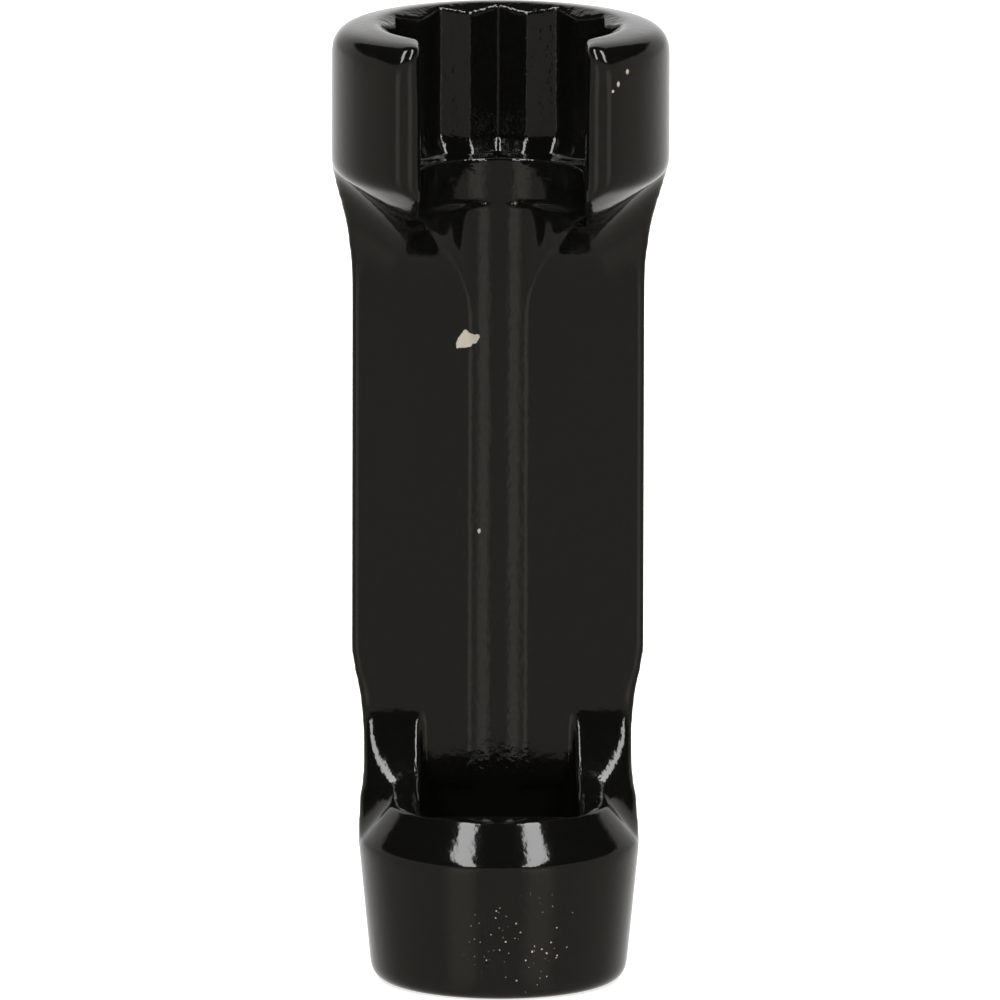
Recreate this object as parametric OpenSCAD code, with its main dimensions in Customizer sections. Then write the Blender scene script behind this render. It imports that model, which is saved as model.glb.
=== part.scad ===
// Slotted socket for the union nuts of injection lines.
// The drive end stands on z = 0, the tool's axis is z, and the slot faces -y.
// The tool is one forging: each node is one region of it, cut off on flat planes.

/* [Overall] */
// Length from the drive end to the mouth of the socket
tool_length = 80; // [74:1:120]

/* [Socket head] */
// Outer diameter of the head
head_d = 27.8; // [27:0.1:34]
// Height of the head's straight outer wall
head_wall_h = 12; // [9:0.5:16]
// Rounding of the head's upper outer edge
head_edge_r = 2; // [0.5:0.1:2.2]
// Height by which the head's upper face rises from its outer edge to the mouth's land
head_crown_h = 0.4; // [0.1:0.05:0.8]
// Size of the line nut across its flats
nut_af = 17; // [14:0.5:18]
// Play between the nut and the socket, across the flats
nut_play = 0.1; // [0:0.05:0.3]
// Depth of the twelve-point socket
socket_depth = 12.5; // [8:0.1:15]
// How far the lead-in widens the mouth past the nut's corners
lead_in_w = 0.45; // [0.2:0.05:0.8]
// Depth of the lead-in cone
lead_in_h = 0.7; // [0.3:0.1:1.2]
// Width of the flat land round the mouth
land_w = 0.4; // [0.2:0.1:0.8]
// Radius of the rounded front of the tips beside the slot
tip_outer_r = 1.8; // [1.7:0.1:2.6]
// How far inside a tip the centre of its rounded front lies, from the slot's side
tip_set = 1.4; // [0.8:0.05:1.65]
// Rounding of the slot's inner upright edges
tip_inner_r = 1.8; // [0.6:0.1:2]

/* [Neck] */
// Diameter at the lower end of the head's conical underside
skirt_d = 18; // [17:0.5:20]
// Height of the head's conical underside
skirt_h = 3.7; // [2.5:0.1:6]
// Radius of the hollow curve from the shank's face to the head
neck_fillet_r = 9.6; // [8:0.1:9.8]
// Radius of the hollow curve from the shank's face to the sides of the head's underside
neck_side_r = 7.7; // [7:0.1:9]
// Width of the way for the line through the head: the slot, and the bore behind it
line_way_w = 13.5; // [12.7:0.1:14]
// Width of the ledge at the bore's lower end
way_ledge_w = 0.7; // [0.3:0.05:0.75]
// Height below the ledge, over which the way narrows until it runs out on the shank's face
way_cone_h = 9; // [6:0.5:10]

/* [Shank] */
// Diameter of the shank's round back
shank_d = 27.6; // [26:0.1:27.8]
// Distance from the tool's axis back to the shank's flat front face
face_offset = 6; // [5.6:0.1:6.3]
// Height at which the shank's back starts to narrow towards the collar
taper_start = 26; // [23:0.5:35]
// Radius of the groove for the line in the shank's face
groove_r = 4.6; // [3:0.1:6]
// Depth of the groove for the line
groove_depth = 0.65; // [0.3:0.05:1.2]

/* [Arms] */
// Radius of the hollow curve from the shank's face to the collar
arm_fillet_r = 7.8; // [6.5:0.1:8.5]
// Clear width between the two arms
arm_gap = 12.8; // [12:0.1:14]

/* [Drive collar] */
// Largest diameter of the collar, under its upper chamfer
collar_d = 23.2; // [22:0.1:25]
// Diameter of the collar at its rounded base
collar_base_d = 21.2; // [20:0.1:22]
// Rounding of the collar's base edge
base_edge_r = 1.5; // [0.4:0.1:1.6]
// Height at which the collar's upper chamfer starts
collar_wall_h = 11.6; // [9:0.1:13]
// Height of the collar's flat rim
collar_h = 14.9; // [14:0.1:18]
// Outer diameter of the flat rim
rim_d = 17.8; // [17.4:0.1:19]
// Size of the square of the drive
drive_square = 12.7; // [12:0.1:13]
// Width of the square hole across its cut-off corners
drive_corner_d = 17; // [16:0.1:17.2]
// Play between the drive and its square hole
drive_play = 0.1; // [0:0.05:0.3]
// Width of the cone that leads the drive in, beside the square's flats
drive_lead_in = 1.6; // [0.4:0.1:2]
// Height of the recesses for the drive's spring ball
detent_h = 7.9; // [6:0.1:9]
// Radius of a recess for the drive's spring ball
detent_r = 2.6; // [1.5:0.1:3]
// Depth of a recess for the drive's spring ball
detent_depth = 0.8; // [0.4:0.1:1.2]

/* [Hidden] */
$fn = 96;

coating = "#1c1b19";
// Overlap that lets a cut run past the surface it opens
pass = 1;
// How far a tip's rounding reaches past the head's wall, so that it runs into the wall at a slight angle
tip_lap = 0.03;
// Depth by which a side blend starts inside the cone that it grows out of
blend_sink = 0.1;

head_r = head_d / 2;
shank_r = shank_d / 2;
collar_r = collar_d / 2;
base_r = collar_base_d / 2;
rim_r = rim_d / 2;
skirt_r = skirt_d / 2;
way_r = line_way_w / 2;
// A length that reaches past the tool on every side of its axis
reach = head_d;

head_z = tool_length - head_wall_h;
skirt_z = head_z - skirt_h;
neck_z = skirt_z - neck_fillet_r;
socket_floor_z = tool_length - socket_depth;

square_w = drive_square + drive_play;
hex_r = (nut_af + nut_play) / 2 / cos(30);
mouth_r = hex_r + lead_in_w;
// Radius of the twelve-point socket at its teeth
tooth_r = hex_r * cos(30) / cos(15);

// The head's upper face leans out by this angle, and its edge rounding is tangent to it
land_r = mouth_r + land_w;
crown_lean = atan2(head_crown_h, head_r - land_r);
head_round_r = head_r - head_edge_r;
head_round_z = tool_length - (head_round_r - land_r) * tan(crown_lean) - head_edge_r / cos(crown_lean);

// The collar's wall leans out by this angle, and its base rounding is tangent to it
collar_lean = atan2(collar_r - base_r, collar_wall_h - base_edge_r);
base_round_r = base_r - base_edge_r / cos(collar_lean);

// The outside of the forging as one turned shape
module envelope() {
    rotate_extrude() {
        polygon([
            [0, 0],
            [base_round_r, 0],
            [base_round_r + base_edge_r * cos(collar_lean), base_edge_r * (1 - sin(collar_lean))],
            [collar_r, collar_wall_h],
            [shank_r, taper_start],
            [shank_r, neck_z],
            [head_r, head_z],
            [head_r, head_round_z],
            [head_round_r + head_edge_r * sin(crown_lean), head_round_z + head_edge_r * cos(crown_lean)],
            [land_r, tool_length],
            [0, tool_length]
        ]);
        translate([base_round_r, base_edge_r]) circle(base_edge_r);
        translate([head_round_r, head_round_z]) circle(head_edge_r);
    }
}

// A level slice of space from z_low to z_high
module slice(z_low, z_high) {
    translate([-reach, -reach, z_low]) cube([2 * reach, 2 * reach, z_high - z_low]);
}

// Everything behind the shank's front face
module behind_face() {
    translate([-reach, face_offset, 0]) cube([2 * reach, reach, tool_length]);
}

// A hollow quarter-round corner, running along +x for the given length: it fills the corner
// between a wall on +y and a floor at z = 0, with a solid bed below the floor.
module hollow_corner(radius, length, bed) {
    translate([0, face_offset - radius, 0]) difference() {
        translate([0, 0, -bed]) cube([length, radius + pass, radius + bed]);
        translate([-pass, 0, radius]) rotate([0, 90, 0]) cylinder(r = radius, h = length + 2 * pass);
    }
}

// The hollow corner laid along the sloping side of a cone, on the +x side.
// The cone's side runs from [foot_r, foot_z] in to [top_r, top_z].
module side_corner(radius, foot_r, foot_z, top_r, top_z) {
    rise = atan2(top_z - foot_z, foot_r - top_r);
    translate([foot_r, 0, foot_z]) rotate([0, rise, 0])
        translate([-reach, 0, -blend_sink]) hollow_corner(radius, 2 * reach, reach);
}

// The space between both sloping sides of a cone, each blended into the shank's face
module side_corners(radius, foot_r, foot_z, top_r, top_z) {
    intersection_for(side = [0, 1])
        mirror([side, 0, 0]) side_corner(radius, foot_r, foot_z, top_r, top_z);
}

// The hollow curve above the collar's rim
module arm_corner() {
    translate([-reach, 0, collar_h]) hollow_corner(arm_fillet_r, 2 * reach, collar_h);
}

// The hollow curve under the head
module neck_corner() {
    translate([-reach, 0, skirt_z]) mirror([0, 0, 1])
        hollow_corner(neck_fillet_r, 2 * reach, head_wall_h);
}

// The collar's chamfer sides, blended into the shank's face
module collar_sides() {
    side_corners(arm_fillet_r, collar_r, collar_wall_h, rim_r, collar_h);
}

// The sides of the head's conical underside, blended into the shank's face
module skirt_sides() {
    translate([0, 0, head_z]) mirror([0, 0, 1])
        side_corners(neck_side_r, head_r, 0, skirt_r, skirt_h);
}

// The way for the line through neck and head: a bore that is open to the front, and below its
// ledge the cone in which it runs out on the shank's face
module line_way() {
    translate([0, 0, neck_z]) cylinder(r1 = face_offset, r2 = way_r - way_ledge_w, h = way_cone_h);
    translate([0, 0, neck_z + way_cone_h]) linear_extrude(tool_length - neck_z) {
        circle(way_r);
        translate([-way_r, -reach]) square([line_way_w, reach]);
    }
}

// The groove for the line, from the collar up the shank's face into the neck
module line_groove() {
    translate([0, face_offset + groove_depth - groove_r, collar_h])
        cylinder(r = groove_r, h = skirt_z - collar_h);
}

// What the rounding of an upright edge takes off the slot's side, in plan on the +x side.
// The rounding has its centre at c, and edge and corner lie past the edge that it takes off.
module edge_rounding(c, radius, edge, corner) {
    difference() {
        polygon([c, edge, [way_r, corner], [way_r, c[1]]]);
        translate(c) circle(radius);
    }
}

// The rounding of the slot's upright edges, over the height of the head
module slot_edges() {
    outer_x = way_r + tip_set;
    outer_c = [outer_x, -sqrt(pow(head_r + tip_lap - tip_outer_r, 2) - pow(outer_x, 2))];
    inner_x = way_r + tip_inner_r;
    inner_c = [inner_x, -sqrt(pow(tooth_r + tip_inner_r, 2) - pow(inner_x, 2))];
    inner_edge = inner_c * tooth_r / (tooth_r + tip_inner_r);
    translate([0, 0, skirt_z - pass]) linear_extrude(tool_length - skirt_z + 2 * pass)
        for (side = [0, 1]) mirror([side, 0]) {
            edge_rounding(outer_c, tip_outer_r, outer_c * reach / norm(outer_c), -reach);
            edge_rounding(inner_c, tip_inner_r, inner_edge, inner_edge[1]);
        }
}

// The twelve-point socket: two hexagons a twelfth of a turn apart, and their lead-in
module twelve_point() {
    translate([0, 0, socket_floor_z])
        for (turn = [0, 30])
            rotate(turn) cylinder(r = hex_r, h = socket_depth + pass, $fn = 6);
    lead_slope = (mouth_r - tooth_r) / lead_in_h;
    translate([0, 0, tool_length - lead_in_h])
        cylinder(r1 = tooth_r, r2 = mouth_r + lead_slope * pass, h = lead_in_h + pass);
}

// The square hole for the drive, with its lead-in cone and spring-ball recesses
module drive_hole() {
    lead_r = square_w / 2 + drive_lead_in;
    translate([0, 0, -pass]) linear_extrude(collar_h + 2 * pass) intersection() {
        square(square_w, center = true);
        circle(d = drive_corner_d);
    }
    translate([0, 0, -pass]) cylinder(r1 = lead_r + pass, r2 = lead_r, h = pass);
    cylinder(r1 = lead_r, r2 = lead_r - drive_lead_in, h = drive_lead_in);
    for (turn = [0:90:270])
        rotate(turn) translate([square_w / 2 + detent_depth - detent_r, 0, detent_h]) sphere(detent_r);
}

// The slotted ring, its conical underside and the wall behind it
module socket_head() {
    color(coating) difference() {
        intersection() {
            envelope();
            slice(skirt_z, tool_length);
            union() {
                slice(head_z, tool_length);
                translate([0, 0, skirt_z]) cylinder(r1 = skirt_r, r2 = head_r, h = skirt_h);
                skirt_sides();
                behind_face();
            }
        }
        twelve_point();
        line_way();
        slot_edges();
    }
}

// The hollow curve that carries the head on the shank
module neck() {
    color(coating) difference() {
        intersection() {
            envelope();
            slice(neck_z, skirt_z);
            union() {
                behind_face();
                intersection() {
                    neck_corner();
                    skirt_sides();
                }
            }
        }
        line_way();
        line_groove();
    }
}

// The half-round shank with its flat front face and line groove
module shank() {
    color(coating) difference() {
        intersection() {
            envelope();
            slice(collar_h, neck_z);
            behind_face();
        }
        line_groove();
    }
}

// The arm on the +x side: the web from the shank's face down to the collar's rim
module arm() {
    color(coating) intersection() {
        envelope();
        translate([arm_gap / 2, face_offset - reach, collar_h]) cube([reach, reach, arm_fillet_r]);
        arm_corner();
        collar_sides();
    }
}

module left_arm() {
    mirror([1, 0, 0]) arm();
}

module right_arm() {
    arm();
}

// The tapered collar with the square hole for the drive
module drive_collar() {
    color(coating) difference() {
        intersection() {
            envelope();
            slice(0, collar_h);
            union() {
                slice(0, collar_wall_h);
                translate([0, 0, collar_wall_h])
                    cylinder(r1 = collar_r, r2 = rim_r, h = collar_h - collar_wall_h);
                collar_sides();
                behind_face();
            }
        }
        drive_hole();
    }
}

socket_head();
neck();
shank();
left_arm();
right_arm();
drive_collar();
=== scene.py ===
"""Looks of a slotted line socket: one black-lacquered forging on a plain studio floor."""

import logging
import math
from dataclasses import dataclass, field
from enum import Enum

import bpy
import numpy as np
from mathutils import Matrix, Quaternion, Vector

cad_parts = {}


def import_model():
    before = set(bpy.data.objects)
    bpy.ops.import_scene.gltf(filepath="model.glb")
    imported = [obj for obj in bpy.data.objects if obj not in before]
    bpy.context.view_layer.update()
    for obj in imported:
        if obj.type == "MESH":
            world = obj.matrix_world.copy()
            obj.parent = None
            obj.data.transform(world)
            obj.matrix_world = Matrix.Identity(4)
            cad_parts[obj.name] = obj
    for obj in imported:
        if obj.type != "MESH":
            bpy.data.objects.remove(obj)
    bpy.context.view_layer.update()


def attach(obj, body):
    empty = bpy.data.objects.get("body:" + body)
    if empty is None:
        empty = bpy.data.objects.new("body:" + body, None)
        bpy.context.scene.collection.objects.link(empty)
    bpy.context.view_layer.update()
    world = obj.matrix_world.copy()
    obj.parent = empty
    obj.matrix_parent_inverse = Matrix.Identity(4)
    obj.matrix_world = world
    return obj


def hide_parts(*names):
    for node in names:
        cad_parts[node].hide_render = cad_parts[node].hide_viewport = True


LOG = logging.getLogger("line_socket")

Point = tuple[float, float, float]
Profile = list[tuple[float, float]]

# The shapes are worked in millimetres and brought to metres once they are finished
MM = 0.001
# Corners of a turned shape or a rod
SIDES = 240
# Corners of a nut, and the twelfth of a turn between the two hexagons of the socket
NUT_SIDES, TWELFTH = 6, math.pi / 6
# Segments and rings of a ball
BALL_SEGMENTS, BALL_RINGS = 48, 32
# Straight pieces of an arc in a profile
ARC_STEPS = 10
# Overlap that lets a cut run past the surface it opens, in millimetres
PASS = 1.0
# A length that reaches past the tool on every side of its axis, in millimetres
REACH = 28.0
# Steps in which a point takes its share of a smoothing
SHARE_STEPS = 10
# Name of the mesh attribute that tells where the coat is thick
THICK_COAT = "thick_coat"


class Joining(Enum):
    """How one rough shape is worked into another."""

    ADD = "UNION"
    CUT = "DIFFERENCE"
    KEEP = "INTERSECT"


class Rounding(Enum):
    """Whether edges are rounded inside the zones that are given, or outside them."""

    INSIDE = 1
    OUTSIDE = -1


class Way(Enum):
    """The two ends of the shank: a web below its upper end, or above its lower end."""

    UP = 1
    DOWN = -1


def colour(hex_code: str) -> tuple[float, float, float, float]:
    """Turns an sRGB hex colour into linear light.

    Args:
        hex_code: the colour as "#rrggbb".

    Returns:
        Linear red, green, blue and an alpha of one.
    """
    parts = [int(hex_code[i : i + 2], 16) / 255 for i in (1, 3, 5)]
    linear = [c / 12.92 if c <= 0.04045 else ((c + 0.055) / 1.055) ** 2.4 for c in parts]
    return (linear[0], linear[1], linear[2], 1.0)


def add_node(
    tree: bpy.types.NodeTree, kind: str, inputs: dict | None = None, **settings
) -> bpy.types.Node:
    """Adds one node with its settings, input values and links.

    Args:
        tree: the node tree that takes the node.
        kind: the node's type name.
        inputs: values or output sockets by input name or number.
        **settings: the node's own properties.

    Returns:
        The new node.
    """
    node = tree.nodes.new(kind)
    for name, value in settings.items():
        setattr(node, name, value)
    for name, value in (inputs or {}).items():
        if isinstance(value, bpy.types.NodeSocket):
            tree.links.new(value, node.inputs[name])
        else:
            node.inputs[name].default_value = value
    return node


def clear_selection() -> None:
    """Leaves nothing selected, so that the next operator acts on its own object alone."""
    if bpy.context.object is not None and bpy.context.object.mode != "OBJECT":
        bpy.ops.object.mode_set(mode="OBJECT")
    bpy.ops.object.select_all(action="DESELECT")


def pick(piece: bpy.types.Object) -> None:
    """Makes one object the only selected one, and the active one."""
    clear_selection()
    piece.select_set(True)
    bpy.context.view_layer.objects.active = piece


def settle(piece: bpy.types.Object, name: str) -> bpy.types.Object:
    """Names an object and moves its place, turn and scale into its mesh.

    Args:
        piece: the object.
        name: its new name.

    Returns:
        The same object.
    """
    pick(piece)
    bpy.ops.object.transform_apply(location=True, rotation=True, scale=True)
    piece.name = piece.data.name = name
    return piece


def block(name: str, low: Point, high: Point) -> bpy.types.Object:
    """Adds a block between two corners.

    Args:
        name: name of the block.
        low: its lowest corner, in millimetres.
        high: its highest corner.

    Returns:
        The block.
    """
    clear_selection()
    size = [h - l for l, h in zip(low, high)]
    bpy.ops.mesh.primitive_cube_add(size=1, location=[(h + l) / 2 for l, h in zip(low, high)])
    bpy.context.object.scale = size
    return settle(bpy.context.object, name)


def rod(name: str, radius: float, foot: Point, length: float) -> bpy.types.Object:
    """Adds an upright rod.

    Args:
        name: name of the rod.
        radius: its radius.
        foot: the middle of its lower end.
        length: its length.

    Returns:
        The rod.
    """
    clear_selection()
    middle = (foot[0], foot[1], foot[2] + length / 2)
    bpy.ops.mesh.primitive_cylinder_add(vertices=SIDES, radius=radius, depth=length, location=middle)
    return settle(bpy.context.object, name)


def ball(name: str, radius: float, centre: Point) -> bpy.types.Object:
    """Adds a ball.

    Args:
        name: name of the ball.
        radius: its radius.
        centre: its middle.

    Returns:
        The ball.
    """
    clear_selection()
    bpy.ops.mesh.primitive_uv_sphere_add(
        segments=BALL_SEGMENTS, ring_count=BALL_RINGS, radius=radius, location=centre
    )
    return settle(bpy.context.object, name)


def arc(centre: tuple[float, float], radius: float, start: float, end: float) -> Profile:
    """Points of an arc in a turned shape's profile.

    Args:
        centre: radius and height of the arc's centre.
        radius: the arc's own radius.
        start: the angle it starts at, in degrees from level outwards.
        end: the angle it ends at.

    Returns:
        The points, both ends included.
    """
    turns = [math.radians(start + (end - start) * i / ARC_STEPS) for i in range(ARC_STEPS + 1)]
    return [(centre[0] + radius * math.cos(t), centre[1] + radius * math.sin(t)) for t in turns]


def turned(name: str, profile: Profile, sides: int = SIDES) -> bpy.types.Object:
    """Turns a solid about the tool's axis, from a disc that is drawn up ring by ring.

    Args:
        name: name of the solid.
        profile: radius and height of each ring, from the lowest up.
        sides: its corners, six for a hexagonal shape.

    Returns:
        The solid.
    """
    clear_selection()
    radius, height = profile[0]
    bpy.ops.mesh.primitive_circle_add(
        vertices=sides, radius=radius, fill_type="NGON", location=(0, 0, height)
    )
    piece = settle(bpy.context.object, name)
    bpy.ops.object.mode_set(mode="EDIT")
    bpy.ops.mesh.select_all(action="SELECT")
    for new_radius, new_height in profile[1:]:
        rise = (0, 0, new_height - height)
        bpy.ops.mesh.extrude_region_move(TRANSFORM_OT_translate={"value": rise})
        grow = new_radius / radius
        bpy.ops.transform.resize(value=(grow, grow, 1), center_override=(0, 0, new_height))
        radius, height = new_radius, new_height
    bpy.ops.object.mode_set(mode="OBJECT")
    return face_outwards(piece)


def face_outwards(piece: bpy.types.Object) -> bpy.types.Object:
    """Turns all faces of a closed shape outwards and gives the shape back."""
    pick(piece)
    bpy.ops.object.mode_set(mode="EDIT")
    bpy.ops.mesh.select_all(action="SELECT")
    bpy.ops.mesh.normals_make_consistent(inside=False)
    bpy.ops.object.mode_set(mode="OBJECT")
    return piece


def work(piece: bpy.types.Object, tool: bpy.types.Object, how: Joining) -> bpy.types.Object:
    """Works one closed shape into another and uses it up.

    Args:
        piece: the shape that is kept.
        tool: the shape that is joined on, cut out or cut to.
        how: which of these.

    Returns:
        The kept shape.
    """
    step = piece.modifiers.new(tool.name, "BOOLEAN")
    step.operation, step.object, step.solver = how.value, tool, "MANIFOLD"
    apply_step(piece, step)
    mesh = tool.data
    bpy.data.objects.remove(tool)
    bpy.data.meshes.remove(mesh)
    return piece


def apply_step(piece: bpy.types.Object, step: bpy.types.Modifier) -> None:
    """Applies one modifier of an object to its mesh."""
    pick(piece)
    bpy.ops.object.modifier_apply(modifier=step.name)


def triangles(piece: bpy.types.Object) -> int:
    """How many triangles a mesh has."""
    return sum(len(face.vertices) - 2 for face in piece.data.polygons)


def ease(value: np.ndarray, start: float, end: float) -> np.ndarray:
    """Rises smoothly from zero at start to one at end.

    Args:
        value: where it is looked at.
        start: where the rise begins.
        end: where it is done, above or below start.

    Returns:
        The rise at each value.
    """
    t = np.clip((value - start) / (end - start), 0, 1)
    return t * t * (3 - 2 * t)


@dataclass(frozen=True)
class Zone:
    """A region of the body that fades in over its ramps, and the share it gives at full strength.

    Each ramp names what it runs over and where it starts and ends, in millimetres: "side" is the
    distance from the middle plane, "radius" the distance from the axis.
    """

    share: float
    ramps: tuple[tuple[str, float, float], ...]

    def at(self, place: np.ndarray) -> np.ndarray:
        """The zone's share at each point.

        Args:
            place: points of the body, in millimetres.

        Returns:
            A share for each point.
        """
        axes = {
            "side": np.abs(place[:, 0]),
            "y": place[:, 1],
            "z": place[:, 2],
            "radius": np.hypot(place[:, 0], place[:, 1]),
        }
        value = self.share
        for axis, start, end in self.ramps:
            value = value * ease(axes[axis], start, end)
        return value


def strongest(zones: tuple[Zone, ...], place: np.ndarray) -> np.ndarray:
    """The largest share that any of the zones gives at each point.

    Args:
        zones: the zones.
        place: points of the body, in millimetres.

    Returns:
        A share for each point.
    """
    return np.maximum.reduce([zone.at(place) for zone in zones])


# Where the die rounds the edges: the shank's, the arms' outer ones, the tips' upper ones and those
# at the neck's foot
FORGED_EDGES = (
    Zone(0.19, (("side", 8.5, 10.5), ("z", 15.5, 24.0), ("z", 66.0, 62.0))),
    Zone(0.7, (("side", 6.6, 8.0), ("y", 6.8, 6.0), ("z", 14.5, 16.0), ("z", 25.0, 23.0))),
    Zone(0.3, (("side", 12.5, 10.5), ("y", -3.0, -6.0), ("z", 75.0, 77.5))),
    Zone(0.5, (("side", 6.5, 5.5), ("y", 3.5, 4.8), ("z", 53.0, 55.0), ("z", 63.0, 60.5))),
)
# Where the coat leaves edges crisp: in the socket above its foot and on the edge of the bore, at the
# bore's ledge, in the groove and on the arms' inner edges
CRISP_EDGES = (
    Zone(0.8, (("radius", 10.6, 10.0), ("z", 68.5, 69.5))),
    Zone(0.8, (("radius", 10.6, 10.0), ("z", 66.6, 67.2), ("radius", 7.9, 7.5))),
    Zone(0.4, (("radius", 7.8, 7.3), ("y", 4.5, 5.5), ("z", 62.4, 63.0), ("z", 65.6, 65.0))),
    Zone(0.5, (("side", 3.6, 3.0), ("y", 5.0, 5.5), ("z", 14.0, 16.0))),
    Zone(
        0.5,
        (
            ("side", 7.8, 7.3),
            ("side", 5.6, 6.0),
            ("y", 6.2, 5.7),
            ("z", 15.2, 16.0),
            ("z", 24.0, 23.0),
        ),
    ),
)
# Where the coat has run together and ripples: in the socket and the groove, on the chamfer and
# on the arms
RIPPLED = (
    Zone(1.0, (("radius", 10.4, 10.0), ("z", 68.0, 68.6))),
    Zone(0.4, (("side", 3.0, 2.4), ("y", 5.8, 6.0))),
    Zone(0.13, (("y", 0.0, -2.0), ("z", 11.5, 12.2), ("z", 15.2, 14.6))),
    Zone(0.28, (("side", 5.8, 6.4), ("y", 6.4, 5.8), ("z", 14.6, 15.4), ("z", 23.0, 22.0))),
)


@dataclass(frozen=True)
class Spot:
    """A small patch on the coat: its place and its half sizes, in millimetres."""

    place: Point
    size: Point


@dataclass(frozen=True)
class BlackLacquer:
    """Stoved black lacquer, dipped over a steel forging.

    It gives the eye a nearly black, wet gloss: what shows is what it mirrors, a little broken up
    by the orange peel of a thick coat. A knock has chipped it to bare steel, and dust sits on it.
    """

    name: str = "stoved_black_lacquer"
    body: str = "#0b0b09"
    steel: str = "#f3eee3"
    dust: str = "#b5afa2"
    ior: float = 1.5
    roughness: float = 0.085
    steel_roughness: float = 0.75
    dust_roughness: float = 0.8
    # Width and depth of the orange peel's dimples, in millimetres, and the weight of its finer ones
    peel_width: float = 0.75
    peel_depth: float = 0.012
    peel_fineness: float = 0.45
    # Width and depth of the ripples where the coat is thick, in millimetres
    ripple_width: float = 0.6
    ripple_depth: float = 0.08
    relief_detail: float = 2.0
    # The knock on the left edge of the groove, and the depth and raggedness of its edge
    chip: Spot = Spot((-2.55, 6.1, 52.4), (0.85, 1.5, 0.72))
    chip_depth: float = 0.06
    chip_ragged: float = 0.9
    crumb_width: float = 0.9
    crumb_detail: float = 3.0
    # Where the chip, a single speck and the dusty patch reach full strength, in their half sizes
    chip_full: float = 0.93
    speck_full: float = 0.6
    dusty_full: float = 0.3
    # Specks that sit alone: three on the right tip and one in the groove
    specks: tuple[Spot, ...] = (
        Spot((10.15, -9.3, 77.55), (0.17, 0.6, 0.24)),
        Spot((9.4, -10.1, 76.65), (0.14, 0.6, 0.28)),
        Spot((8.95, -10.3, 76.1), (0.14, 0.6, 0.16)),
        Spot((-1.55, 6.3, 36.3), (0.16, 0.4, 0.24)),
    )
    # The dusty patch low on the collar's front, the spacing of its grains and their largest radius
    dusty: Spot = Spot((1.9, -10.9, 5.0), (6.6, 5.0, 6.2))
    dust_spacing: float = 0.42
    dust_grain: float = 0.11

    def make(self) -> bpy.types.Material:
        """Builds the material.

        Returns:
            The new material.
        """
        material = bpy.data.materials.new(self.name)
        material.use_nodes = True
        tree = material.node_tree
        tree.nodes.clear()
        place = add_node(tree, "ShaderNodeTexCoord").outputs["Object"]
        chip = self.chipped(tree, place)
        dust = self.dusted(tree, place)
        paint = add_node(
            tree,
            "ShaderNodeMix",
            {0: chip, 6: colour(self.body), 7: colour(self.steel)},
            data_type="RGBA",
        )
        tint = add_node(
            tree,
            "ShaderNodeMix",
            {0: dust, 6: paint.outputs[2], 7: colour(self.dust)},
            data_type="RGBA",
        )
        worn = add_node(
            tree, "ShaderNodeMapRange", {0: chip, 3: self.roughness, 4: self.steel_roughness}
        )
        gloss = add_node(tree, "ShaderNodeMix", {0: dust, 2: worn.outputs[0], 3: self.dust_roughness})
        shader = add_node(
            tree,
            "ShaderNodeBsdfPrincipled",
            {
                "Base Color": tint.outputs[2],
                "Metallic": chip,
                "Roughness": gloss.outputs[0],
                "IOR": self.ior,
                "Normal": self.relief(tree, place, chip),
            },
        )
        add_node(tree, "ShaderNodeOutputMaterial", {"Surface": shader.outputs["BSDF"]})
        return material

    def within(
        self, tree: bpy.types.NodeTree, place: bpy.types.NodeSocket, spot: Spot
    ) -> bpy.types.NodeSocket:
        """Measures places from the middle of a spot, in its half sizes.

        Args:
            tree: the material's nodes.
            place: the places.
            spot: the spot.

        Returns:
            The measured places.
        """
        inputs = {
            "Vector": place,
            "Location": [v * MM for v in spot.place],
            "Scale": [v * MM for v in spot.size],
        }
        return add_node(tree, "ShaderNodeMapping", inputs, vector_type="TEXTURE").outputs[0]

    def distance(
        self, tree: bpy.types.NodeTree, place: bpy.types.NodeSocket, spot: Spot
    ) -> bpy.types.NodeSocket:
        """Measures how far places are from the middle of a spot, in its half sizes.

        Args:
            tree: the material's nodes.
            place: the places.
            spot: the spot.

        Returns:
            The distances.
        """
        inside = self.within(tree, place, spot)
        far = add_node(tree, "ShaderNodeVectorMath", {0: inside}, operation="LENGTH")
        return far.outputs["Value"]

    def chipped(self, tree: bpy.types.NodeTree, place: bpy.types.NodeSocket) -> bpy.types.NodeSocket:
        """Marks where the coat has chipped off, with a ragged edge.

        Args:
            tree: the material's nodes.
            place: places on the body.

        Returns:
            One in the chip, zero outside.
        """
        crumbs = add_node(
            tree,
            "ShaderNodeTexNoise",
            {"Vector": place, "Scale": 1 / (self.crumb_width * MM), "Detail": self.crumb_detail},
        )
        shift = add_node(
            tree,
            "ShaderNodeVectorMath",
            {0: crumbs.outputs["Color"], 1: (0.5, 0.5, 0.5)},
            operation="SUBTRACT",
        )
        inside = self.within(tree, place, self.chip)
        ragged = add_node(
            tree,
            "ShaderNodeVectorMath",
            {0: shift.outputs[0], 1: [2 * self.chip_ragged] * 3, 2: inside},
            operation="MULTIPLY_ADD",
        )
        far = add_node(tree, "ShaderNodeVectorMath", {0: ragged.outputs[0]}, operation="LENGTH")
        edge = {0: far.outputs["Value"], 1: 1.0, 2: self.chip_full}
        return add_node(tree, "ShaderNodeMapRange", edge).outputs[0]

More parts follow.
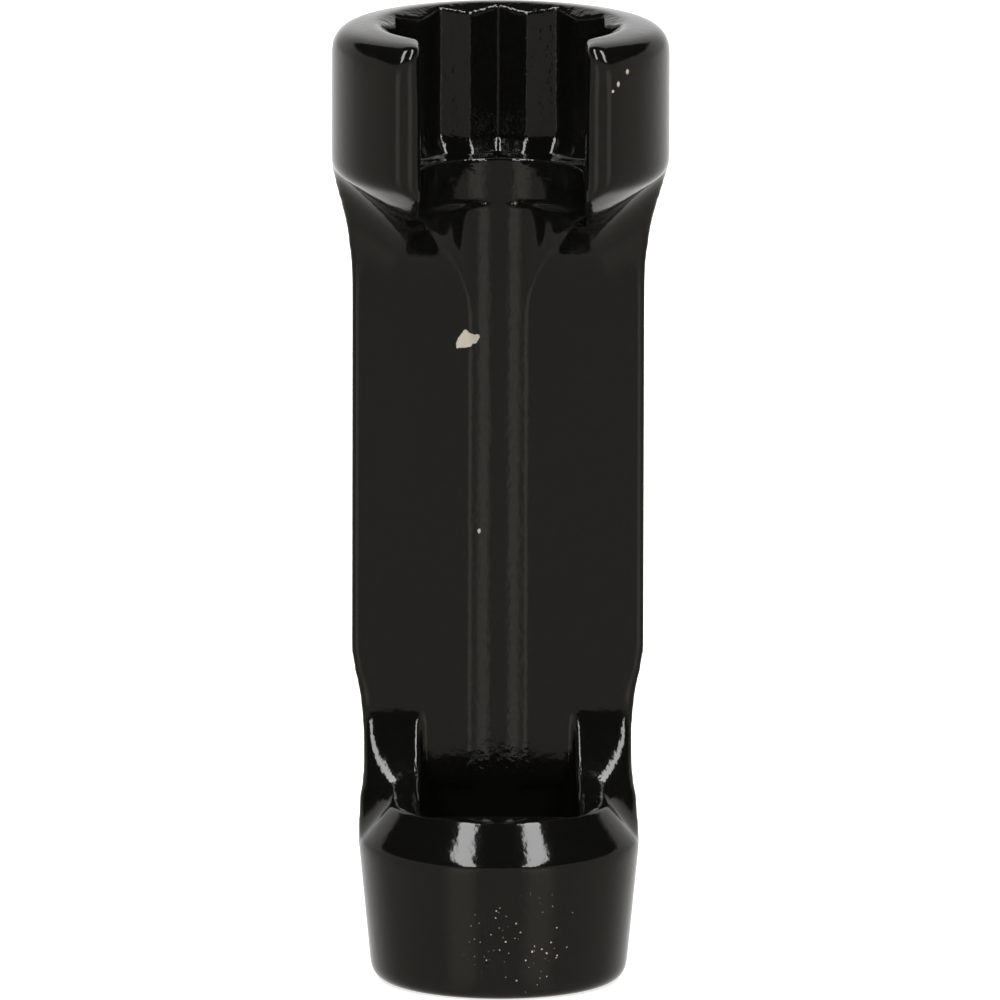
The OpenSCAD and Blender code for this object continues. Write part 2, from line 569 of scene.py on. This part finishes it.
    def dusted(self, tree: bpy.types.NodeTree, place: bpy.types.NodeSocket) -> bpy.types.NodeSocket:
        """Marks the single specks and the grains of the dusty patch.

        Args:
            tree: the material's nodes.
            place: places on the body.

        Returns:
            One on a speck or grain, zero beside it.
        """
        spacing = 1 / (self.dust_spacing * MM)
        cells = add_node(tree, "ShaderNodeTexVoronoi", {"Vector": place, "Scale": spacing})
        patch = self.distance(tree, place, self.dusty)
        chance = add_node(tree, "ShaderNodeSeparateColor", {0: cells.outputs["Color"]}).outputs[0]
        grain = self.dust_grain / self.dust_spacing
        size = add_node(tree, "ShaderNodeMapRange", {0: chance, 4: grain})
        fade = add_node(tree, "ShaderNodeMapRange", {0: patch, 1: 1.0, 2: self.dusty_full})
        sizes = {0: size.outputs[0], 1: fade.outputs[0]}
        limit = add_node(tree, "ShaderNodeMath", sizes, operation="MULTIPLY")
        grains = {0: cells.outputs["Distance"], 1: limit.outputs[0]}
        marks = add_node(tree, "ShaderNodeMath", grains, operation="LESS_THAN")
        for speck in self.specks:
            far = self.distance(tree, place, speck)
            near = add_node(tree, "ShaderNodeMapRange", {0: far, 1: 1.0, 2: self.speck_full})
            both = {0: marks.outputs[0], 1: near.outputs[0]}
            marks = add_node(tree, "ShaderNodeMath", both, operation="MAXIMUM")
        return marks.outputs[0]

    def relief(
        self, tree: bpy.types.NodeTree, place: bpy.types.NodeSocket, chip: bpy.types.NodeSocket
    ) -> bpy.types.NodeSocket:
        """Raises the orange peel, the ripples of the thick coat and the chip's edge.

        Args:
            tree: the material's nodes.
            place: places on the body.
            chip: where the coat is chipped off.

        Returns:
            The bent normal.
        """
        peel = add_node(
            tree,
            "ShaderNodeTexNoise",
            {
                "Vector": place,
                "Scale": 1 / (self.peel_width * MM),
                "Detail": self.relief_detail,
                "Roughness": self.peel_fineness,
            },
        )
        normal = add_node(
            tree,
            "ShaderNodeBump",
            {"Height": peel.outputs["Fac"], "Distance": self.peel_depth * MM},
        ).outputs[0]
        ripples = add_node(
            tree,
            "ShaderNodeTexNoise",
            {"Vector": place, "Scale": 1 / (self.ripple_width * MM), "Detail": self.relief_detail},
        )
        thick = add_node(tree, "ShaderNodeAttribute", attribute_name=THICK_COAT)
        normal = add_node(
            tree,
            "ShaderNodeBump",
            {
                "Strength": thick.outputs["Fac"],
                "Height": ripples.outputs["Fac"],
                "Distance": self.ripple_depth * MM,
                "Normal": normal,
            },
        ).outputs[0]
        return add_node(
            tree,
            "ShaderNodeBump",
            {"Height": chip, "Distance": self.chip_depth * MM, "Normal": normal},
            invert=True,
        ).outputs[0]


@dataclass
class ShankFace:
    """The flat front face of the shank and the webs that carry the head and meet the collar."""

    # How far the face lies behind the axis, and how far a web's side slopes are sunk into the round end
    offset: float = 6.0
    sink: float = 0.1

    def hollow(self, name: str, radius: float) -> bpy.types.Object:
        """Adds a block with a hollow quarter-round corner, which fills the corner to the face.

        Args:
            name: name of the block.
            radius: radius of the hollow.

        Returns:
            The block, with the foot of the hollow at a height of zero.
        """
        near = self.offset - radius
        piece = block(name, (-2 * REACH, near, -REACH), (2 * REACH, self.offset + PASS, radius))
        cutter = rod(name + "_hollow", radius, (0, 0, -3 * REACH), 6 * REACH)
        lie_down = Matrix.Rotation(math.pi / 2, 4, "Y")
        cutter.matrix_world = Matrix.Translation((0, near, radius)) @ lie_down
        return work(piece, settle(cutter, cutter.name), Joining.CUT)

    def web(
        self,
        name: str,
        way: Way,
        radii: tuple[float, float],
        foot: tuple[float, float],
        top: tuple[float, float],
    ) -> bpy.types.Object:
        """Adds the web from the face to a round end that slopes off at both sides.

        Args:
            name: name of the web.
            way: whether the round end is above the web or below it.
            radii: radius of the hollow between the face and the end, and at the end's sides.
            foot: radius and height where the slope of the end begins, at its widest.
            top: radius and height of the end's flat.

        Returns:
            The web, cut to the slope on both sides.
        """
        flip = Matrix.Identity(4) if way is Way.DOWN else Matrix.Rotation(math.pi, 4, "Y")
        piece = self.hollow(name, radii[0])
        piece.matrix_world = Matrix.Translation((0, 0, top[1])) @ flip
        settle(piece, name)
        rise = math.atan2(abs(top[1] - foot[1]), foot[0] - top[0])
        for side in (-1, 1):
            slope = self.hollow(f"{name}_side", radii[1])
            slope.matrix_world = (
                Matrix.Translation((0, 0, foot[1]))
                @ flip
                @ Matrix.Translation((side * foot[0], 0, 0))
                @ Matrix.Rotation(side * rise, 4, "Y")
                @ Matrix.Translation((0, 0, -self.sink))
            )
            work(piece, settle(slope, slope.name), Joining.KEEP)
        return piece


@dataclass
class SocketHead:
    """The slotted ring with its twelve-point socket. Sizes in millimetres."""

    top: float = 80.0
    radius: float = 13.9
    wall_foot: float = 68.0
    edge_round: float = 2.0
    crown: float = 0.4
    land: float = 0.4
    under_round: float = 1.6
    skirt_radius: float = 9.0
    skirt_foot: float = 64.3
    neck_round: float = 9.6
    neck_side_round: float = 7.7
    nut_corner: float = 9.873
    tooth_radius: float = 8.852
    socket_depth: float = 12.5
    # Height and depth of the ramps that the broach leaves at the socket's foot
    foot_ramp: float = 1.3
    foot_run: float = 0.8
    lead_in_width: float = 0.45
    lead_in_height: float = 0.7
    way_radius: float = 6.75
    way_ledge: float = 0.7
    way_cone: float = 9.0
    tip_outer: float = 1.8
    tip_set: float = 1.4
    tip_inner: float = 1.8
    # Beads of lacquer at the foot of the socket: place across the tool, and radius
    beads: tuple[Point, ...] = (
        (-4.8, 8.2, 0.42),
        (-0.1, 9.6, 0.42),
        (4.6, 8.2, 0.3),
    )

    @property
    def neck_foot(self) -> float:
        """Height at which the neck grows out of the shank's face."""
        return self.skirt_foot - self.neck_round

    def ring(self) -> bpy.types.Object:
        """Turns the head's outside, with its edges rounded.

        Returns:
            The solid head.
        """
        slope = math.atan2(self.wall_foot - self.skirt_foot, self.radius - self.skirt_radius)
        # The rounding touches the sloping underside and the upright wall
        centre_r = self.radius - self.under_round
        centre_z = self.wall_foot + self.under_round * math.tan((math.pi / 2 - slope) / 2)
        under = arc((centre_r, centre_z), self.under_round, math.degrees(slope) - 90, 0)
        skirt = (self.skirt_radius, self.skirt_foot)
        return turned("socket_ring", [skirt, *under, *self.upper_edge()])

    def upper_edge(self) -> Profile:
        """The rounded upper edge and the slightly crowned face up to the land round the mouth.

        Returns:
            The profile from the wall's end to the land's outer edge.
        """
        land = self.nut_corner + self.lead_in_width + self.land
        lean = math.atan2(self.crown, self.radius - land)
        centre_r = self.radius - self.edge_round
        centre_z = self.top - (centre_r - land) * math.tan(lean) - self.edge_round / math.cos(lean)
        edge = arc((centre_r, centre_z), self.edge_round, 0, 90 - math.degrees(lean))
        return [*edge, (land, self.top)]

    def line_way(self) -> bpy.types.Object:
        """The way for the line: a bore that is open to the front, running out on the shank's face.

        Returns:
            The cutter.
        """
        face = ShankFace()
        bore_foot = self.neck_foot + self.way_cone
        bore = turned(
            "line_way",
            [
                (face.offset, self.neck_foot),
                (self.way_radius - self.way_ledge, bore_foot),
                (self.way_radius, bore_foot),
                (self.way_radius, self.top + PASS),
            ],
        )
        slot_low = (-self.way_radius, -REACH, bore_foot)
        slot = block("slot", slot_low, (self.way_radius, 0, self.top + 2 * PASS))
        return work(bore, slot, Joining.ADD)

    def tip_rounding(self, side: int) -> bpy.types.Object:
        """What the rounding of the slot's upright edges takes off one tip.

        Args:
            side: -1 for the left tip, 1 for the right one.

        Returns:
            The cutter.
        """
        low, high = self.skirt_foot - 2 * PASS, self.top + PASS
        outer_x = self.way_radius + self.tip_set
        outer_y = -math.sqrt((self.radius - self.tip_outer) ** 2 - outer_x**2)
        taken = block("tip_outer", (0, -REACH, low), (outer_x, outer_y, high))
        # Beside the rounding's centre the cut ends where the rounding touches the wall
        wedge = block("tip_wedge", (-2 * self.tip_outer, -REACH, low - PASS), (0, 0, high + PASS))
        lean = math.atan2(outer_x, -outer_y)
        wedge.matrix_world = Matrix.Translation((outer_x, outer_y, 0)) @ Matrix.Rotation(lean, 4, "Z")
        work(taken, settle(wedge, wedge.name), Joining.ADD)
        height = high - low
        wall = rod("tip_wall", self.tip_outer, (outer_x, outer_y, low - 2 * PASS), height + 4 * PASS)
        work(taken, wall, Joining.CUT)
        inner_x = self.way_radius + self.tip_inner
        inner_y = -math.sqrt((self.tooth_radius + self.tip_inner) ** 2 - inner_x**2)
        reach = self.tooth_radius / (self.tooth_radius + self.tip_inner)
        inner = block("tip_inner", (0, inner_y, low), (inner_x * reach, inner_y * reach, high))
        heel = rod("tip_heel", self.tip_inner, (inner_x, inner_y, low - PASS), height + 2 * PASS)
        work(inner, heel, Joining.CUT)
        work(taken, inner, Joining.ADD)
        if side < 0:
            taken.matrix_world = Matrix.Scale(-1, 4, (1, 0, 0))
            face_outwards(settle(taken, taken.name))
        return taken

    def socket(self) -> bpy.types.Object:
        """The twelve-point socket: two hexagons a twelfth of a turn apart, and their lead-in.

        Returns:
            The cutter.
        """
        foot = self.top - self.socket_depth
        # At its foot the broach leaves the walls a little thicker
        toe = self.nut_corner - self.foot_run / math.cos(TWELFTH)
        walls = [(toe, foot), (self.nut_corner, foot + self.foot_ramp)]
        points = turned("socket", [*walls, (self.nut_corner, self.top + PASS)], NUT_SIDES)
        turn = turned("socket_turn", [*walls, (self.nut_corner, self.top + 2 * PASS)], NUT_SIDES)
        turn.matrix_world = Matrix.Rotation(TWELFTH, 4, "Z")
        work(points, settle(turn, turn.name), Joining.ADD)
        mouth = self.nut_corner + self.lead_in_width
        lead = turned(
            "lead_in",
            [
                (self.tooth_radius, self.top - self.lead_in_height),
                (mouth, self.top),
                (mouth + PASS, self.top + PASS),
            ],
        )
        return work(points, lead, Joining.ADD)


@dataclass
class DriveCollar:
    """The tapered collar with the square for the drive. Sizes in millimetres."""

    radius: float = 11.6
    base_radius: float = 10.6
    base_round: float = 1.5
    wall_top: float = 11.6
    rim_radius: float = 8.9
    rim: float = 14.9
    arm_round: float = 7.8
    arm_gap: float = 12.8
    square: float = 12.8
    square_corner: float = 8.5
    lead_in: float = 1.6
    detent_height: float = 7.9
    detent_radius: float = 2.6
    detent_depth: float = 0.8

    def base_profile(self) -> Profile:
        """The rounded base edge of the collar's profile."""
        lean = math.atan2(self.radius - self.base_radius, self.wall_top - self.base_round)
        centre = self.base_radius - self.base_round / math.cos(lean)
        return arc((centre, self.base_round), self.base_round, -90, -math.degrees(lean))

    def body(self) -> bpy.types.Object:
        """Turns the collar's outside."""
        wall = [(self.radius, self.wall_top), (self.rim_radius, self.rim)]
        return turned("collar", [*self.base_profile(), *wall])

    def drive_hole(self, face: float) -> bpy.types.Object:
        """The square hole, its lead-in cone and its four spring-ball recesses.

        Args:
            face: distance from the axis back to the shank's face.

        Returns:
            The cutter.
        """
        half = self.square / 2
        hole = block("drive_square", (-half, -half, -PASS), (half, half, self.rim + PASS))
        corners = rod("corners", self.square_corner, (0, 0, -2 * PASS), self.rim + 4 * PASS)
        work(hole, corners, Joining.KEEP)
        # Above the rim the hole ends at the shank's face
        plate = block("plate", (-REACH, face, self.rim), (REACH, REACH, self.rim + 2 * PASS))
        work(hole, plate, Joining.CUT)
        wide = half + self.lead_in
        lead_in = turned("drive_lead_in", [(wide + PASS, -PASS), (wide, 0), (half, self.lead_in)])
        work(hole, lead_in, Joining.ADD)
        out = half + self.detent_depth - self.detent_radius
        for x, y in ((out, 0), (0, out), (-out, 0), (0, -out)):
            work(hole, ball("detent", self.detent_radius, (x, y, self.detent_height)), Joining.ADD)
        return hole


@dataclass
class WrenchBody:
    """The whole forging: head, neck, shank, arms and collar in one piece. Sizes in millimetres."""

    head: SocketHead = field(default_factory=SocketHead)
    collar: DriveCollar = field(default_factory=DriveCollar)
    face: ShankFace = field(default_factory=ShankFace)
    shank_radius: float = 13.8
    taper_start: float = 26.0
    groove_radius: float = 4.6
    groove_depth: float = 0.65
    # Width of one face of the skin, and rounds of smoothing: for the die's rounding and the coat's
    forged_voxel: float = 0.26
    forged_rounds: int = 150
    voxel: float = 0.13
    coat_rounds: int = 72
    # How far one round of smoothing moves a point that takes it fully
    smoothing: float = 0.5
    quick_factor: float = 2.5
    most_triangles: int = 190_000

    def envelope(self) -> bpy.types.Object:
        """The outside of the forging as one turned shape."""
        head, collar = self.head, self.collar
        return turned(
            "envelope",
            [
                *collar.base_profile(),
                (collar.radius, collar.wall_top),
                (self.shank_radius, self.taper_start),
                (self.shank_radius, head.neck_foot),
                (head.radius, head.wall_foot),
                *head.upper_edge(),
            ],
        )

    def rough(self) -> bpy.types.Object:
        """Joins the regions of the forging and makes its openings.

        Returns:
            The rough body, in millimetres.
        """
        head, collar, face = self.head, self.collar, self.face
        body = self.envelope()
        behind = block("behind", (-REACH, face.offset, -PASS), (REACH, REACH, head.top + PASS))
        work(body, behind, Joining.KEEP)
        neck = face.web(
            "neck",
            Way.UP,
            (head.neck_round, head.neck_side_round),
            (head.radius, head.wall_foot),
            (head.skirt_radius, head.skirt_foot),
        )
        arms = face.web(
            "arms",
            Way.DOWN,
            (collar.arm_round, collar.arm_round),
            (collar.radius, collar.wall_top),
            (collar.rim_radius, collar.rim),
        )
        above = block("above", (-REACH, -REACH, head.neck_foot), (REACH, REACH, head.wall_foot))
        work(neck, above, Joining.KEEP)
        arm_top = collar.rim + collar.arm_round
        below = block("below", (-REACH, -REACH, collar.base_round), (REACH, REACH, arm_top))
        work(arms, below, Joining.KEEP)
        for web in (neck, arms):
            work(web, self.envelope(), Joining.KEEP)
        half_gap = collar.arm_gap / 2
        gap_high = (half_gap, face.offset, arm_top + PASS)
        gap = block("arm_gap", (-half_gap, -REACH, collar.rim), gap_high)
        work(arms, gap, Joining.CUT)
        for part in (neck, arms, head.ring(), collar.body()):
            work(body, part, Joining.ADD)
        for cutter in (head.line_way(), head.tip_rounding(-1), head.tip_rounding(1)):
            work(body, cutter, Joining.CUT)
        self.skin(body, self.forged_voxel, FORGED_EDGES, Rounding.INSIDE, self.forged_rounds)
        groove_y = face.offset + self.groove_depth - self.groove_radius
        # The groove runs on behind the rim, down through the drive's hole
        groove_foot = -PASS
        groove_length = head.skirt_foot - groove_foot
        groove = rod("groove", self.groove_radius, (0, groove_y, groove_foot), groove_length)
        for cutter in (groove, head.line_way(), head.socket(), collar.drive_hole(face.offset)):
            work(body, cutter, Joining.CUT)
        for x, y, radius in head.beads:
            work(body, ball("bead", radius, (x, y, head.top - head.socket_depth)), Joining.ADD)
        return body

    def soften(self, body: bpy.types.Object, shares: np.ndarray, rounds: int) -> None:
        """Rounds the edges by smoothing.

        Args:
            body: the body.
            shares: how much of the rounding each vertex takes.
            rounds: how many rounds of smoothing a full share takes.
        """
        group = body.vertex_groups.new(name="rounding")
        levels = np.round(shares * SHARE_STEPS).astype(int)
        for level in range(1, SHARE_STEPS + 1):
            members = np.flatnonzero(levels == level)
            if len(members):
                group.add(members.tolist(), level / SHARE_STEPS, "REPLACE")
        step = body.modifiers.new("rounding", "SMOOTH")
        step.factor, step.iterations, step.vertex_group = self.smoothing, rounds, group.name
        apply_step(body, step)
        body.vertex_groups.clear()

    def skin(
        self,
        body: bpy.types.Object,
        voxel: float,
        zones: tuple[Zone, ...],
        where: Rounding,
        rounds: int,
    ) -> None:
        """Gives the body an even skin and rounds its edges.

        Args:
            body: the body.
            voxel: width of one face of the skin, in millimetres.
            zones: tell how much of the rounding each point takes.
            where: whether that holds inside the zones or outside them.
            rounds: how many rounds of smoothing a full share takes.
        """
        coarser = 1.0
        step = body.modifiers.new("skin", "REMESH")
        step.mode, step.voxel_size = "VOXEL", voxel * coarser
        apply_step(body, step)
        LOG.info("skin of %.2f mm has %d triangles", voxel, triangles(body))
        place = np.empty(len(body.data.vertices) * 3, np.float32)
        body.data.vertices.foreach_get("co", place)
        shares = strongest(zones, place.reshape(-1, 3))
        if where is Rounding.OUTSIDE:
            shares = 1 - shares
        self.soften(body, shares, round(rounds / coarser**2))

    def build(self) -> bpy.types.Object:
        """Models the body with the rounded edges that forging and lacquer leave.

        Returns:
            The finished body, in metres.
        """
        body = self.rough()
        self.skin(body, self.voxel, CRISP_EDGES, Rounding.OUTSIDE, self.coat_rounds)
        pick(body)
        bpy.ops.object.shade_smooth()
        self.thin(body)
        body.scale = (MM, MM, MM)
        return settle(body, "wrench_body")

    def thin(self, body: bpy.types.Object) -> None:
        """Thins the mesh and keeps the smooth shading of the dense one.

        Args:
            body: the body.
        """
        pick(body)
        bpy.ops.object.duplicate()
        dense = bpy.context.object
        step = body.modifiers.new("thin", "DECIMATE")
        step.ratio = min(1.0, self.most_triangles / triangles(body))
        apply_step(body, step)
        step = body.modifiers.new("shading", "DATA_TRANSFER")
        step.object, step.use_loop_data = dense, True
        step.data_types_loops = {"CUSTOM_NORMAL"}
        step.loop_mapping = "POLYINTERP_NEAREST"
        apply_step(body, step)
        mesh = dense.data
        bpy.data.objects.remove(dense)
        bpy.data.meshes.remove(mesh)

    def dress(self, body: bpy.types.Object) -> None:
        """Gives the body its finish and its place in the frame.

        Args:
            body: the finished body.
        """
        mesh = body.data
        place = np.empty(len(mesh.vertices) * 3, np.float32)
        mesh.vertices.foreach_get("co", place)
        thick = mesh.attributes.new(THICK_COAT, "FLOAT", "POINT")
        shares = strongest(RIPPLED, place.reshape(-1, 3) / MM)
        thick.data.foreach_set("value", shares.astype(np.float32))
        mesh.materials.clear()
        mesh.materials.append(BlackLacquer().make())
        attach(body, "root")
        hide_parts("socket_head", "neck", "shank", "left_arm", "right_arm", "drive_collar")


# Light of the tent's front, what its back adds, what a band on the table adds, the roof's least
FRONT_LIGHT, BACK_LIGHT, BAND_LIGHT, ROOF_LIGHT = 0.34, 0.66, 0.45, 0.03
# Height at which the roof begins, the height over which it darkens, its rise towards the back and
# how much higher it begins over the middle of the backdrop
ROOF_START, ROOF_FADE, ROOF_LEAN, BACKDROP_RISE = 0.29, 0.07, 0.16, 0.30
# Ramps of the tent's light over a direction's side, y or z: start and end, and the values there
TENT_RAMPS = {
    # The table and the backdrop brighten towards the back, the backdrop only in its middle
    "far": ("y", 0.20, 1.00, 0.0, 1.0),
    "dim": ("side", 0.15, 0.50, 0.0, 0.65),
    "over": ("z", -0.03, 0.08, 0.0, 1.0),
    # The backdrop stands higher in its middle
    "behind": ("y", 0.30, 0.55, 0.0, 1.0),
    "middle": ("side", 0.50, 0.30, 0.0, 1.0),
    # Two light bands lie on the table, in front at both sides
    "rise": ("side", 0.28, 0.42, 0.0, 1.0),
    "fall": ("side", 0.60, 0.74, 1.0, 0.0),
    "front": ("y", -0.20, -0.40, 0.0, 1.0),
    "near": ("z", -0.50, -0.12, 0.25, 1.0),
    "table": ("z", 0.05, -0.08, 0.0, 1.0),
}
# Sums that turn the ramps into light: name, operation and terms of each
TENT_STEPS = (
    ("far_2", "MULTIPLY", "far", "far"),
    ("dimmed", "MULTIPLY", "over", "dim"),
    ("kept", "SUBTRACT", 1.0, "dimmed"),
    ("back", "MULTIPLY", "far_2", "kept"),
    ("level", "MULTIPLY_ADD", "back", BACK_LIGHT, FRONT_LIGHT),
    ("tall", "MULTIPLY", "behind", "middle"),
    ("lean", "MULTIPLY_ADD", "y", -ROOF_LEAN, "z"),
    ("height", "MULTIPLY_ADD", "tall", -BACKDROP_RISE, "lean"),
    ("roof_rise", "SUBTRACT", "height", ROOF_START),
    ("roof_fall", "DIVIDE", "roof_rise", -ROOF_FADE),
    ("roof_open", "ADD", "roof_fall", 1.0),
    ("roof_top", "MINIMUM", "roof_open", 1.0),
    ("roof", "MAXIMUM", "roof_top", ROOF_LIGHT),
    ("room", "MULTIPLY", "level", "roof"),
    ("band_width", "MULTIPLY", "rise", "fall"),
    ("band_place", "MULTIPLY", "front", "table"),
    ("band_part", "MULTIPLY", "band_width", "band_place"),
    ("band", "MULTIPLY", "band_part", "near"),
    ("light", "MULTIPLY_ADD", "band", BAND_LIGHT, "room"),
)


@dataclass
class Studio:
    """Floor, light tent, two softboxes and the camera. Lengths in metres."""

    floor_half: float = 3.0
    paper: str = "#f4f4f4"
    # What the camera sees of the paper besides its lit white, so that it comes out white all over
    floor_lift: float = 0.75
    # The shade lies just under the floor's level
    shade_radius: float = 0.0085
    shade_drop: float = 0.01 * MM
    shaded_paper: str = "#141414"
    tent_radius: float = 4.0
    # Corners of the round shade and of the tent
    round_segments: int = 64
    # The cloth in front is a little yellow, the backdrop pure white
    cloth_front: str = "#fff9ec"
    cloth_back: str = "#ffffff"
    # Direction of the right softbox from the target, its distance, width and height, and power in watts
    box_direction: Point = (0.406, -0.432, 0.807)
    box_distance: float = 0.9
    box_size: tuple[float, float] = (0.2, 1.5)
    box_power: float = 8.2
    # How far the upper ends of the softboxes lean towards the back, in degrees
    box_roll: float = 28.0
    camera_distance: float = 2.8
    camera_elevation: float = 10.7
    # The tool stands turned a little to the camera's right
    camera_turn: float = 1.3
    camera_target: Point = (0.00002, 0.0, 0.0401)
    # Millimetres of the object that the picture's width takes in, at the target's distance
    picture_width: float = 82.35
    # How far the camera is rolled to the left, in degrees
    camera_roll: float = 0.13
    sensor_width: float = 36.0
    clip_end: float = 10.0

    def floor(self) -> None:
        """Lays the plain pale floor."""
        clear_selection()
        bpy.ops.mesh.primitive_plane_add(size=2 * self.floor_half, location=(0, 0, 0))
        floor = settle(bpy.context.object, "studio_floor")
        floor.visible_glossy = False
        material = bpy.data.materials.new("matt_white_paper")
        material.use_nodes = True
        tree = material.node_tree
        tree.nodes.clear()
        paper = add_node(tree, "ShaderNodeBsdfDiffuse", {"Color": colour(self.paper)})
        seen = add_node(tree, "ShaderNodeLightPath").outputs["Is Camera Ray"]
        lift = add_node(tree, "ShaderNodeMath", {0: seen, 1: self.floor_lift}, operation="MULTIPLY")
        glow = add_node(tree, "ShaderNodeEmission", {"Strength": lift.outputs[0]})
        shaders = {0: paper.outputs["BSDF"], 1: glow.outputs["Emission"]}
        both = add_node(tree, "ShaderNodeAddShader", shaders)
        add_node(tree, "ShaderNodeOutputMaterial", {"Surface": both.outputs["Shader"]})
        floor.data.materials.append(material)

    def shade(self) -> None:
        """Lays the shaded floor inside the drive's hole, which only the coat's gloss shows."""
        clear_selection()
        under = (0, 0, -self.shade_drop)
        bpy.ops.mesh.primitive_circle_add(
            vertices=self.round_segments, radius=self.shade_radius, fill_type="NGON", location=under
        )
        shade = settle(bpy.context.object, "studio_shade")
        shade.visible_camera = shade.visible_shadow = False
        material = bpy.data.materials.new("shaded_paper")
        material.use_nodes = True
        shader = material.node_tree.nodes["Principled BSDF"]
        shader.inputs["Base Color"].default_value = colour(self.shaded_paper)
        shade.data.materials.append(material)

    def tent(self) -> None:
        """Hangs the light tent: white behind the object, grey in front, dark overhead."""
        clear_selection()
        bpy.ops.mesh.primitive_uv_sphere_add(
            segments=self.round_segments, ring_count=self.round_segments // 2, radius=self.tent_radius
        )
        tent = settle(bpy.context.object, "studio_tent")
        tent.visible_camera = False
        material = bpy.data.materials.new("lit_tent_cloth")
        material.use_nodes = True
        tree = material.node_tree
        tree.nodes.clear()
        place = add_node(tree, "ShaderNodeTexCoord").outputs["Object"]
        aim = add_node(tree, "ShaderNodeVectorMath", {0: place}, operation="NORMALIZE")
        axes = add_node(tree, "ShaderNodeSeparateXYZ", {0: aim.outputs[0]})
        values = {"y": axes.outputs["Y"], "z": axes.outputs["Z"]}
        side = add_node(tree, "ShaderNodeMath", {0: axes.outputs["X"]}, operation="ABSOLUTE")
        values["side"] = side.outputs[0]
        for name, (axis, start, end, low, high) in TENT_RAMPS.items():
            bounds = {"From Min": start, "From Max": end, "To Min": low, "To Max": high}
            ramp = add_node(tree, "ShaderNodeMapRange", {"Value": values[axis], **bounds})
            values[name] = ramp.outputs[0]
        for name, operation, *terms in TENT_STEPS:
            inputs = {i: values.get(term, term) for i, term in enumerate(terms)}
            values[name] = add_node(tree, "ShaderNodeMath", inputs, operation=operation).outputs[0]
        cloth = {0: values["far"], 6: colour(self.cloth_front), 7: colour(self.cloth_back)}
        tint = add_node(tree, "ShaderNodeMix", cloth, data_type="RGBA")
        light = {"Color": tint.outputs[2], "Strength": values["light"]}
        glow = add_node(tree, "ShaderNodeEmission", light)
        add_node(tree, "ShaderNodeOutputMaterial", {"Surface": glow.outputs["Emission"]})
        tent.data.materials.append(material)

    def softboxes(self) -> None:
        """Hangs a softbox at each side, up in front of the object."""
        for name, side in (("left", -1), ("right", 1)):
            lamp = bpy.data.lights.new(f"softbox_{name}", "AREA")
            lamp.shape = "RECTANGLE"
            lamp.size, lamp.size_y = self.box_size
            lamp.energy = self.box_power
            holder = bpy.data.objects.new(lamp.name, lamp)
            bpy.context.scene.collection.objects.link(holder)
            aim = Vector((side * self.box_direction[0], *self.box_direction[1:])).normalized()
            holder.location = aim * self.box_distance + Vector(self.camera_target)
            holder.rotation_mode = "QUATERNION"
            roll = Quaternion((0, 0, 1), math.radians(-side * self.box_roll))
            holder.rotation_quaternion = aim.to_track_quat("Z", "Y") @ roll

    def backdrop(self) -> None:
        """Sets the plain white that the camera sees past the floor."""
        world = bpy.data.worlds.new("white_backdrop")
        world.use_nodes = True
        world.node_tree.nodes["Background"].inputs["Color"].default_value = (1, 1, 1, 1)
        bpy.context.scene.world = world

    def camera(self) -> None:
        """Places the camera at the angle of the photograph."""
        data = bpy.data.cameras.new("camera")
        data.sensor_width = self.sensor_width
        data.lens = self.sensor_width * self.camera_distance / (self.picture_width * MM)
        data.clip_end = self.clip_end
        camera = bpy.data.objects.new("camera", data)
        bpy.context.scene.collection.objects.link(camera)
        tilt = math.radians(self.camera_elevation)
        turn = math.radians(self.camera_turn)
        level = math.cos(tilt)
        back = Vector((-level * math.sin(turn), -level * math.cos(turn), math.sin(tilt)))
        camera.location = Vector(self.camera_target) + back * self.camera_distance
        camera.rotation_mode = "QUATERNION"
        roll = Quaternion((0, 0, 1), math.radians(self.camera_roll))
        camera.rotation_quaternion = back.to_track_quat("Z", "Y") @ roll
        bpy.context.scene.camera = camera

    def build(self) -> None:
        """Sets up the whole studio."""
        self.camera()
        self.floor()
        self.shade()
        self.tent()
        self.softboxes()
        self.backdrop()
        bpy.context.scene.view_settings.view_transform = "Standard"


def main() -> None:
    """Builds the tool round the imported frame, then the studio."""
    logging.basicConfig(level=logging.INFO, format="%(name)s: %(message)s")
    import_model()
    forging = WrenchBody()
    body = forging.build()
    forging.dress(body)
    LOG.info("%s: %d triangles", body.name, triangles(body))
    Studio().build()
    LOG.info("studio is set")


if __name__ == "__main__":
    main()
